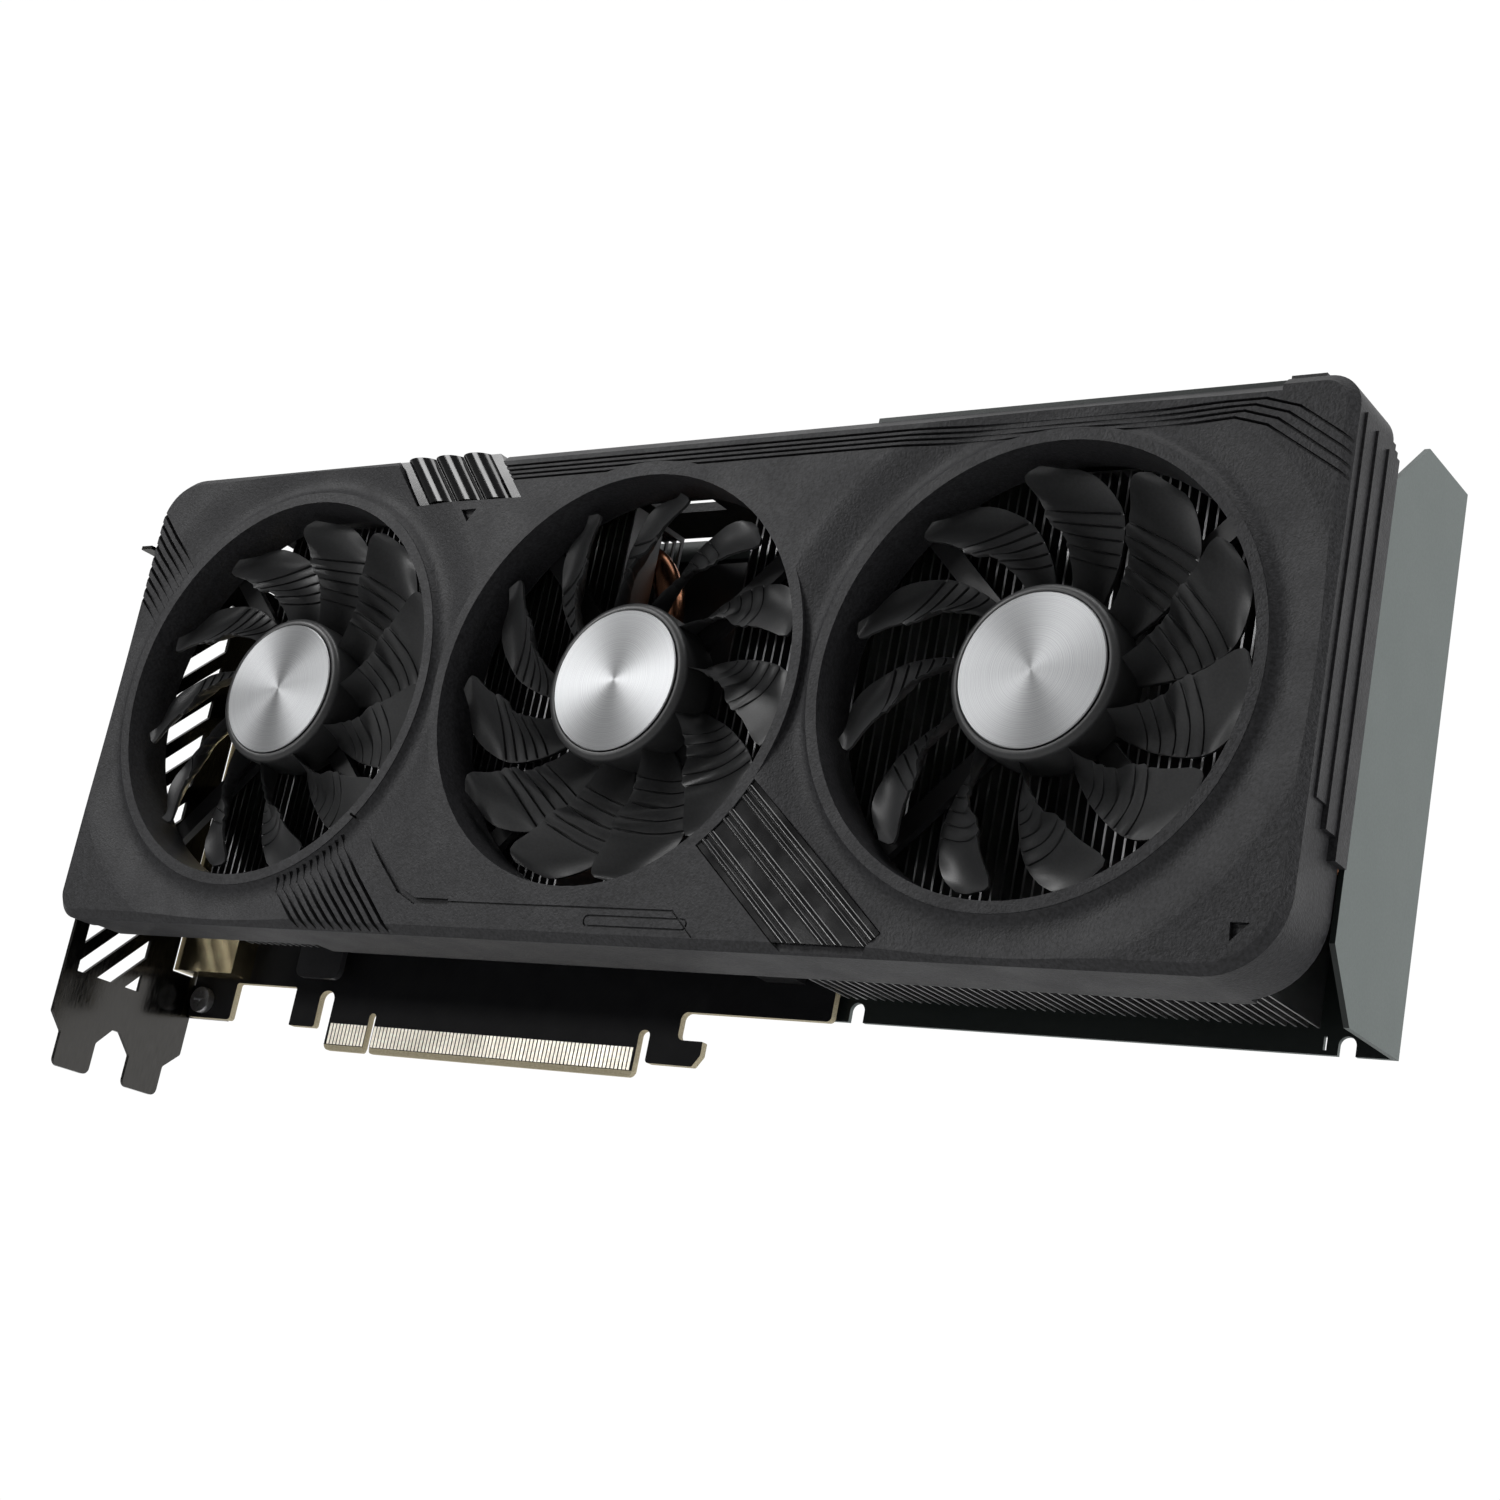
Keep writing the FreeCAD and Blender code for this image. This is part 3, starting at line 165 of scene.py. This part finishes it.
def board_material():
    """Black solder mask with faint copper tracks, and pale laminate on the cut edges."""
    s = Shader("solder_mask", (0.006, 0.006, 0.007), 0.5, 0.0, 0.12)
    tracks = s.node("ShaderNodeTexBrick", Scale=0.34, Mortar_Size=0.035, Brick_Width=0.9, Row_Height=0.5)
    turn = s.node("ShaderNodeMapping", Rotation=(math.radians(90), 0.0, math.radians(45)))
    s.link(s.coords(), turn.inputs["Vector"])
    s.link(turn.outputs["Vector"], tracks.inputs["Vector"])
    s.bump(tracks.outputs["Fac"], 0.02, 0.5)
    s.shade(s.spread(s.noise(6.0), 0.0, 1.0), (0.005, 0.005, 0.006), (0.008, 0.008, 0.009))
    geometry = s.node("ShaderNodeNewGeometry")
    split = s.node("ShaderNodeSeparateXYZ")
    s.link(geometry.outputs["True Normal"], split.inputs["Vector"])
    flat = s.node("ShaderNodeMath")
    flat.operation = "ABSOLUTE"
    s.link(split.outputs["Y"], flat.inputs[0])
    edge = s.node("ShaderNodeMath")
    edge.operation = "LESS_THAN"
    edge.inputs[1].default_value = 0.985
    s.link(flat.outputs["Value"], edge.inputs[0])
    laminate = s.node("ShaderNodeBsdfPrincipled", Base_Color=(0.50, 0.43, 0.27, 1.0), Roughness=0.6)
    weave = s.node("ShaderNodeMix")
    weave.data_type = "RGBA"
    weave.inputs["A"].default_value = (0.40, 0.34, 0.21, 1.0)
    weave.inputs["B"].default_value = (0.62, 0.55, 0.38, 1.0)
    s.link(s.spread(s.noise(0.25, 2.0), 0.0, 1.0), weave.inputs["Factor"])
    s.link(weave.outputs["Result"], laminate.inputs["Base Color"])
    mix = s.node("ShaderNodeMixShader")
    s.link(edge.outputs["Value"], mix.inputs["Fac"])
    s.link(s.bsdf.outputs["BSDF"], mix.inputs[1])
    s.link(laminate.outputs["BSDF"], mix.inputs[2])
    output = s.tree.nodes["Material Output"]
    s.link(mix.outputs["Shader"], output.inputs["Surface"])
    return s.material


def panel_material():
    """Satin grey-green coating, with painted shade: faces turned towards the board (-Y) are painted near
    black.
    """
    s = Shader("satin_panel", (0.10, 0.122, 0.117), 0.42, 0.35, 0.5)
    s.bump(s.noise(0.35, 2.0), 0.012)
    s.link(s.spread(s.noise(9.0, 4.0), 0.405, 0.435), s.bsdf.inputs["Roughness"])
    coat_colour = s.shade(s.spread(s.noise(0.5, 1.0), 0.0, 1.0), (0.094, 0.116, 0.110), (0.106, 0.130, 0.124))
    # painted shade: faces whose normal points along -Y get a near-black colour in place of the grey-green
    # coat
    geometry = s.node("ShaderNodeNewGeometry")
    split = s.node("ShaderNodeSeparateXYZ")
    s.link(geometry.outputs["True Normal"], split.inputs["Vector"])
    shaded_side = s.node("ShaderNodeMath")
    shaded_side.operation = "LESS_THAN"
    shaded_side.inputs[1].default_value = -0.7
    s.link(split.outputs["Y"], shaded_side.inputs[0])
    painted_shade_mix = s.node("ShaderNodeMix")
    painted_shade_mix.data_type = "RGBA"
    painted_shade_mix.inputs["B"].default_value = (0.012, 0.016, 0.015, 1.0)
    s.link(shaded_side.outputs["Value"], painted_shade_mix.inputs["Factor"])
    s.link(coat_colour.outputs["Result"], painted_shade_mix.inputs["A"])
    s.link(painted_shade_mix.outputs["Result"], s.bsdf.inputs["Base Color"])
    return s.material


SHROUD = grained("slate_plastic", (0.021, 0.021, 0.023), 0.52, 0.42, 0.1, spec=0.3, contrast=0.4)
FAN = grained("fan_plastic", (0.031, 0.0315, 0.0325), 0.38, 0.3, 0.012, spec=0.5)
GLOSS = grained("gloss_plastic", (0.005, 0.005, 0.0055), 0.15, 0.8, 0.002, spec=0.5)
FIN = brushed("fin_aluminium", (0.34, 0.34, 0.345), 0.38, (0.1, 0.05, 1.0))
COPPER = grained("copper", (0.86, 0.40, 0.23), 0.24, 0.5, 0.004, metal=1.0)
PLATED = grained("bright_steel", (0.60, 0.60, 0.61), 0.34, 0.5, 0.004, metal=1.0)
DARK_METAL = grained("black_coated_metal", (0.02, 0.02, 0.022), 0.35, 0.4, 0.006, spec=0.6)
BLACK_SCREW = grained("black_zinc", (0.05, 0.05, 0.052), 0.3, 0.4, 0.004, metal=1.0)
BOARD = board_material()
GOLD = grained("gold_plating", (0.98, 0.82, 0.50), 0.22, 0.5, 0.002, metal=1.0)
CONTACT = grained("contact_plating", (0.98, 0.91, 0.79), 0.4, 0.5, 0.002, metal=0.7)
CHIP = grained("chip_package", (0.018, 0.018, 0.02), 0.5, 0.25, 0.004)
SILICON = grained("silicon", (0.10, 0.11, 0.13), 0.08, 3.0, 0.001, metal=0.7)
PAD = grained("thermal_pad", (0.30, 0.34, 0.38), 0.8, 0.6, 0.03)
CHOKE = grained("pressed_powder", (0.06, 0.06, 0.062), 0.6, 0.3, 0.02)
CAN = brushed("capacitor_can", (0.62, 0.63, 0.64), 0.28, (1.0, 0.1, 1.0))
NYLON = grained("black_nylon", (0.014, 0.014, 0.015), 0.42, 0.4, 0.006)
NICKEL = brushed("dark_nickel", (0.075, 0.073, 0.07), 0.16, (1.0, 1.0, 0.12), contrast=0.2)
PANEL = panel_material()
MAGNET = grained("ring_magnet", (0.05, 0.05, 0.05), 0.5, 0.3, 0.01, metal=0.6)
BRONZE = grained("sintered_bronze", (0.42, 0.28, 0.14), 0.45, 0.2, 0.01, metal=1.0)
WINDING = brushed("motor_core", (0.30, 0.13, 0.05), 0.35, (1.0, 0.1, 1.0), metal=0.8)

FINISH = {
    "shroud": SHROUD, "tube_accent": GLOSS, "strip_accent": GLOSS, "fan_screws": BLACK_SCREW,
    "front_fin_stack": FIN, "rear_fin_stack": FIN, "heat_pipes": COPPER, "heat_pipe_loop": COPPER,
    "heatsink_base": FIN, "cold_plate": COPPER, "component_plate": DARK_METAL, "heatsink_tabs": PLATED,
    "shroud_screws": BLACK_SCREW, "circuit_board": BOARD, "edge_contacts": CONTACT, "gpu_package": CHIP,
    "gpu_die": SILICON, "memory_chips": CHIP, "power_transistors": CHIP, "thermal_pads": PAD,
    "power_chokes": CHOKE, "power_capacitors": CAN, "power_socket": NYLON, "power_pins": GOLD,
    "fan_headers": NYLON, "display_sockets": GOLD, "hdmi_sockets": GOLD, "socket_tongues": NYLON,
    "io_bracket": NICKEL, "bracket_screws": PLATED, "backplate": PANEL, "backplate_spacers": PLATED,
    "backplate_screws": BLACK_SCREW, "retention_bracket": PLATED, "retention_screws": BLACK_SCREW,
    "retention_springs": PLATED,
}
for fan_name, fan_x, _, _ in FANS:
    prefix = "fan_%s_" % fan_name
    FINISH[prefix + "rotor"] = FAN
    FINISH[prefix + "cap"] = spun_cap(prefix + "spun_metal", mm(fan_x, 0.0, FAN_Z))
    FINISH[prefix + "magnet"] = MAGNET
    FINISH[prefix + "shaft"] = PLATED
    FINISH[prefix + "bearing"] = BRONZE
    FINISH[prefix + "stator"] = WINDING
    FINISH[prefix + "frame"] = NYLON

BEVELS_MM = {
    "shroud": 0.35, "strip_accent": 0.08, "tube_accent": 0.12, "io_bracket": 0.12, "backplate": 0.18,
    "circuit_board": 0.06, "power_socket": 0.2, "component_plate": 0.12, "heatsink_base": 0.2,
    "gpu_package": 0.05, "memory_chips": 0.06, "retention_bracket": 0.1, "display_sockets": 0.12,
    "hdmi_sockets": 0.12, "bracket_screws": 0.15, "backplate_screws": 0.12, "retention_screws": 0.12,
    "shroud_screws": 0.1, "fan_screws": 0.1, "fan_left_frame": 0.2, "fan_middle_frame": 0.2,
    "fan_right_frame": 0.2,
}


def soften(obj, width_mm):
    """Small rounded edges, so that every hard edge catches some light."""
    bevel = obj.modifiers.new("soft_edges", "BEVEL")
    bevel.width = width_mm * 0.001
    bevel.segments = 2
    bevel.limit_method = "ANGLE"
    bevel.angle_limit = math.radians(32)
    bevel.use_clamp_overlap = True
    bevel.harden_normals = False


for node_name, material in FINISH.items():
    node = NODES[node_name]
    node.data.materials.clear()
    node.data.materials.append(material)
    if node_name in BEVELS_MM:
        soften(node, BEVELS_MM[node_name])


# ---------------------------------------------------------------- detailed rotors
ROOT_R, HUB_R, TIP_R = 15.6, 16.2, 39.6
BLADES = 11
TURN_SEGMENTS = 128
BLADE_FRONT_Y, BLADE_REAR_Y = -41.3, -34.3
ROOT_THICKNESS, TIP_THINNING = 1.5, 0.6
# (radius, degrees from the tip) along the edges of a blade
FRONT_EDGE = ((ROOT_R, -31.0), (18.8, -26.3), (21.6, -21.8), (24.0, -18.6), (25.6, -16.2), (26.6, -12.2),
              (28.0, -9.2), (30.0, -7.6), (32.0, -6.0), (34.2, -3.4), (36.4, -0.9), (38.0, -0.2),
              (39.0, -1.6), (TIP_R, -4.6))
REAR_EDGE = ((ROOT_R, -39.5), (18.8, -38.6), (21.6, -37.2), (24.0, -36.0), (25.6, -34.8), (26.6, -34.0),
             (28.0, -33.0), (30.0, -31.4), (32.0, -29.6), (34.2, -26.6), (36.4, -22.6), (38.0, -19.0),
             (39.0, -16.0), (TIP_R, -13.0))
GROOVES = (21.2, 23.4, 25.6, 27.8, 30.0)
GROOVE_LEAN = 0.09             # how much farther out a groove lies at the rear edge
GROOVE_DEPTH = 0.5
# (distance from a groove, share of its depth) across a groove and its raised far shoulder
GROOVE_STEPS = ((-0.34, 0.0), (-0.2, 0.12), (-0.14, 1.0), (0.06, 1.0), (0.16, -0.28), (0.5, 0.0))


def along_table(table, x):
    """Straight-line look-up in a table of (x, value) pairs."""
    for (x0, y0), (x1, y1) in zip(table, table[1:]):
        if x <= x1:
            return y0 + (y1 - y0) * (x - x0) / (x1 - x0)
    return table[-1][1]


def smooth(t):
    t = min(max(t, 0.0), 1.0)
    return t * t * (3.0 - 2.0 * t)


def groove_rows():
    """Stations along the blade with the groove depth at each, close together at the grooves."""
    rows = [(ROOT_R + 0.9 * n, 0.0) for n in range(6)]
    for line in GROOVES:
        rows += [(line + offset, share) for offset, share in GROOVE_STEPS]
        rows.append((line + 1.2, 0.0))
    rows += [(32.0 + 0.76 * n, 0.0) for n in range(11)]
    return rows


def lean(station, across):
    """Radius of a point on a station's line, which leans outwards at the rear edge."""
    fade = smooth((station - 16.0) / 4.0) * smooth((37.5 - station) / 6.0)
    return station * (1.0 + GROOVE_LEAN * (1.0 - across) * fade)


def blade_point(radius, across, side, groove):
    """A point on one skin of a blade; side is 1 on the front skin and 0 on the rear one."""
    front = along_table(FRONT_EDGE, radius)
    rear = along_table(REAR_EDGE, radius)
    wave = 0.55 * math.sin((radius - 20.6) * math.pi) * smooth((radius - 20.0) / 1.5)
    wave *= smooth((31.4 - radius) / 1.5)
    front += wave
    turn = rear + (front - rear) * across
    share = (radius - HUB_R) / (TIP_R - HUB_R)
    bulge = 0.5 * math.sin(math.pi * min(max(share, 0.0), 1.0))
    front_y = BLADE_FRONT_Y - bulge + 0.5 * smooth((share - 0.8) / 0.2)
    rear_y = BLADE_REAR_Y - 0.4 * share - 2.4 * smooth((share - 0.72) / 0.28)
    curve = across - 0.16 * math.sin(math.pi * across)
    y = rear_y + (front_y - rear_y) * curve
    rounding = math.sin(math.pi * min(max(across, 0.03), 0.97)) ** 0.5
    thick = (ROOT_THICKNESS - TIP_THINNING * share) * (0.30 + 0.70 * rounding)
    if side:
        ends = smooth(across / 0.06) * smooth((1.0 - across) / 0.08)
        return radius, turn, y + groove * GROOVE_DEPTH * ends + 0.25 * thick
    return radius, turn, y + thick + 0.3


def blade_mesh(bm, sweep, base_turn):
    """One closed blade about the Y axis, its tip at base_turn degrees."""
    stations = groove_rows()
    steps = [0.0, 0.02, 0.05] + [0.05 + 0.9 * n / 18 for n in range(1, 18)] + [0.95, 0.98, 1.0]
    skins = []
    for side in (1, 0):
        rows = []
        for station, groove in stations:
            row = []
            for across in steps:
                r, turn, y = blade_point(lean(station, across), across, side, groove)
                angle = math.radians(base_turn + turn * sweep)
                row.append(bm.verts.new(mm(r * math.cos(angle), y, r * math.sin(angle))))
            rows.append(row)
        skins.append(rows)
    faces = []
    for rows in skins:
        for a, b in zip(rows, rows[1:]):
            for k in range(len(steps) - 1):
                faces.append(bm.faces.new((a[k], a[k + 1], b[k + 1], b[k])))
    top, low = skins
    for n in range(len(stations) - 1):
        for k in (0, -1):
            faces.append(bm.faces.new((top[n][k], top[n + 1][k], low[n + 1][k], low[n][k])))
    for k in range(len(steps) - 1):
        for n in (0, -1):
            faces.append(bm.faces.new((top[n][k], top[n][k + 1], low[n][k + 1], low[n][k])))
    bmesh.ops.recalc_face_normals(bm, faces=faces)


def turned_profile(bm, profile):
    """Surface turned about the Y axis from (radius, y) points, closed on itself."""
    rings = []
    for radius, y in profile:
        ring = []
        for n in range(TURN_SEGMENTS):
            angle = 2 * math.pi * n / TURN_SEGMENTS
            ring.append(bm.verts.new(mm(radius * math.cos(angle), y, radius * math.sin(angle))))
        rings.append(ring)
    faces = []
    for a, b in zip(rings, rings[1:] + rings[:1]):
        for n in range(TURN_SEGMENTS):
            m = (n + 1) % TURN_SEGMENTS
            faces.append(bm.faces.new((a[n], a[m], b[m], b[n])))
    bmesh.ops.recalc_face_normals(bm, faces=faces)


HUB_PROFILE = ((14.35, -41.7), (14.4, -42.0), (14.6, -42.12), (15.2, -42.05), (15.8, -41.75), (16.1, -41.3),
               (HUB_R, -40.8), (HUB_R, -33.6), (14.4, -33.6), (14.4, -40.4), (3.0, -40.4), (3.0, -41.7))


def detailed_rotor(name, x, sweep, tip_angle):
    """Hub and swept blades in one moulding, in place of the plain rotor."""
    bm = bmesh.new()
    turned_profile(bm, HUB_PROFILE)
    for n in range(BLADES):
        blade_mesh(bm, sweep, tip_angle + 360.0 / BLADES * n)
    mesh = bpy.data.meshes.new("fan_%s_moulding" % name)
    bm.to_mesh(mesh)
    bm.free()
    for polygon in mesh.polygons:
        polygon.use_smooth = True
    obj = bpy.data.objects.new("fan_%s_moulding" % name, mesh)
    bpy.context.collection.objects.link(obj)
    mesh.transform(Matrix.Translation(mm(x, 0.0, FAN_Z)))
    mesh.materials.append(FAN)
    bpy.context.view_layer.objects.active = obj
    mesh.set_sharp_from_angle(angle=math.radians(50))
    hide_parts("fan_%s_rotor" % name)
    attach(obj, "fan_%s" % name)


for fan_name, fan_x, fan_sweep, fan_tip in FANS:
    detailed_rotor(fan_name, fan_x, fan_sweep, fan_tip)


# ---------------------------------------------------------------- camera
def look(position, forward, down):
    """Camera placement from its position, view direction and image-down direction."""
    forward = Vector(forward).normalized()
    up = -Vector(down).normalized()
    right = forward.cross(up).normalized()
    up = right.cross(forward)
    turn = Matrix((right, up, -forward)).transposed().to_4x4()
    return Matrix.Translation(position) @ turn


camera_data = bpy.data.cameras.new("camera")
camera_data.sensor_width = 36.0
camera_data.lens = 61.25
camera_data.clip_start = 0.01
camera_data.clip_end = 20.0
camera = bpy.data.objects.new("camera", camera_data)
bpy.context.collection.objects.link(camera)
camera.matrix_world = look(mm(385.80, -397.53, -71.32), (-0.57982203, 0.76853224, 0.27048959),
                           (-0.00385515, 0.32940202, -0.94418189))
bpy.context.scene.camera = camera


# ---------------------------------------------------------------- studio
def white_material():
    s = Shader("studio_white", (0.86, 0.86, 0.86), 0.9)
    s.shade(s.spread(s.noise(60.0), 0.0, 1.0), (0.85, 0.85, 0.85), (0.87, 0.87, 0.87))
    return s.material


bpy.ops.mesh.primitive_plane_add(size=12.0, location=(0.1, 0.0, -0.75))
floor = bpy.context.object
floor.name = "studio_floor"
floor.data.materials.append(white_material())

world = bpy.data.worlds.new("studio")
world.use_nodes = True
bpy.context.scene.world = world
background = world.node_tree.nodes["Background"]
background.inputs["Color"].default_value = (1.0, 1.0, 1.0, 1.0)
# white backdrop behind the card, dim room on the side of the camera
direction = world.node_tree.nodes.new("ShaderNodeTexCoord")
axes = world.node_tree.nodes.new("ShaderNodeSeparateXYZ")
dimming = world.node_tree.nodes.new("ShaderNodeMapRange")
dimming.inputs["From Min"].default_value = -0.05
dimming.inputs["From Max"].default_value = 0.4
dimming.inputs["To Min"].default_value = 0.13
dimming.inputs["To Max"].default_value = 1.02
world.node_tree.links.new(direction.outputs["Generated"], axes.inputs["Vector"])
world.node_tree.links.new(axes.outputs["Y"], dimming.inputs["Value"])
world.node_tree.links.new(dimming.outputs["Result"], background.inputs["Strength"])


def soft_light(name, position, target, size, power):
    data = bpy.data.lights.new(name, "AREA")
    data.shape = "RECTANGLE"
    data.size, data.size_y = size
    data.energy = power
    light = bpy.data.objects.new(name, data)
    bpy.context.collection.objects.link(light)
    light.location = position
    light.rotation_mode = "QUATERNION"
    light.rotation_quaternion = (Vector(target) - Vector(position)).to_track_quat("-Z", "Y")


CENTRE = (0.085, -0.02, 0.06)
CONNECTOR = (0.05, 0.0, 0.0)
soft_light("key", (-0.60, -0.76, 0.62), CENTRE, (0.50, 0.32), 4.5)
soft_light("low_fill", (-0.67, -1.05, 0.14), CONNECTOR, (0.30, 0.10), 1.8)
soft_light("overhead", (0.1, -0.35, 1.1), CENTRE, (1.0, 0.25), 4.5)
soft_light("side", (1.1, -0.02, 0.22), CENTRE, (0.35, 0.8), 3.5)

scene = bpy.context.scene
scene.view_settings.view_transform = "Standard"
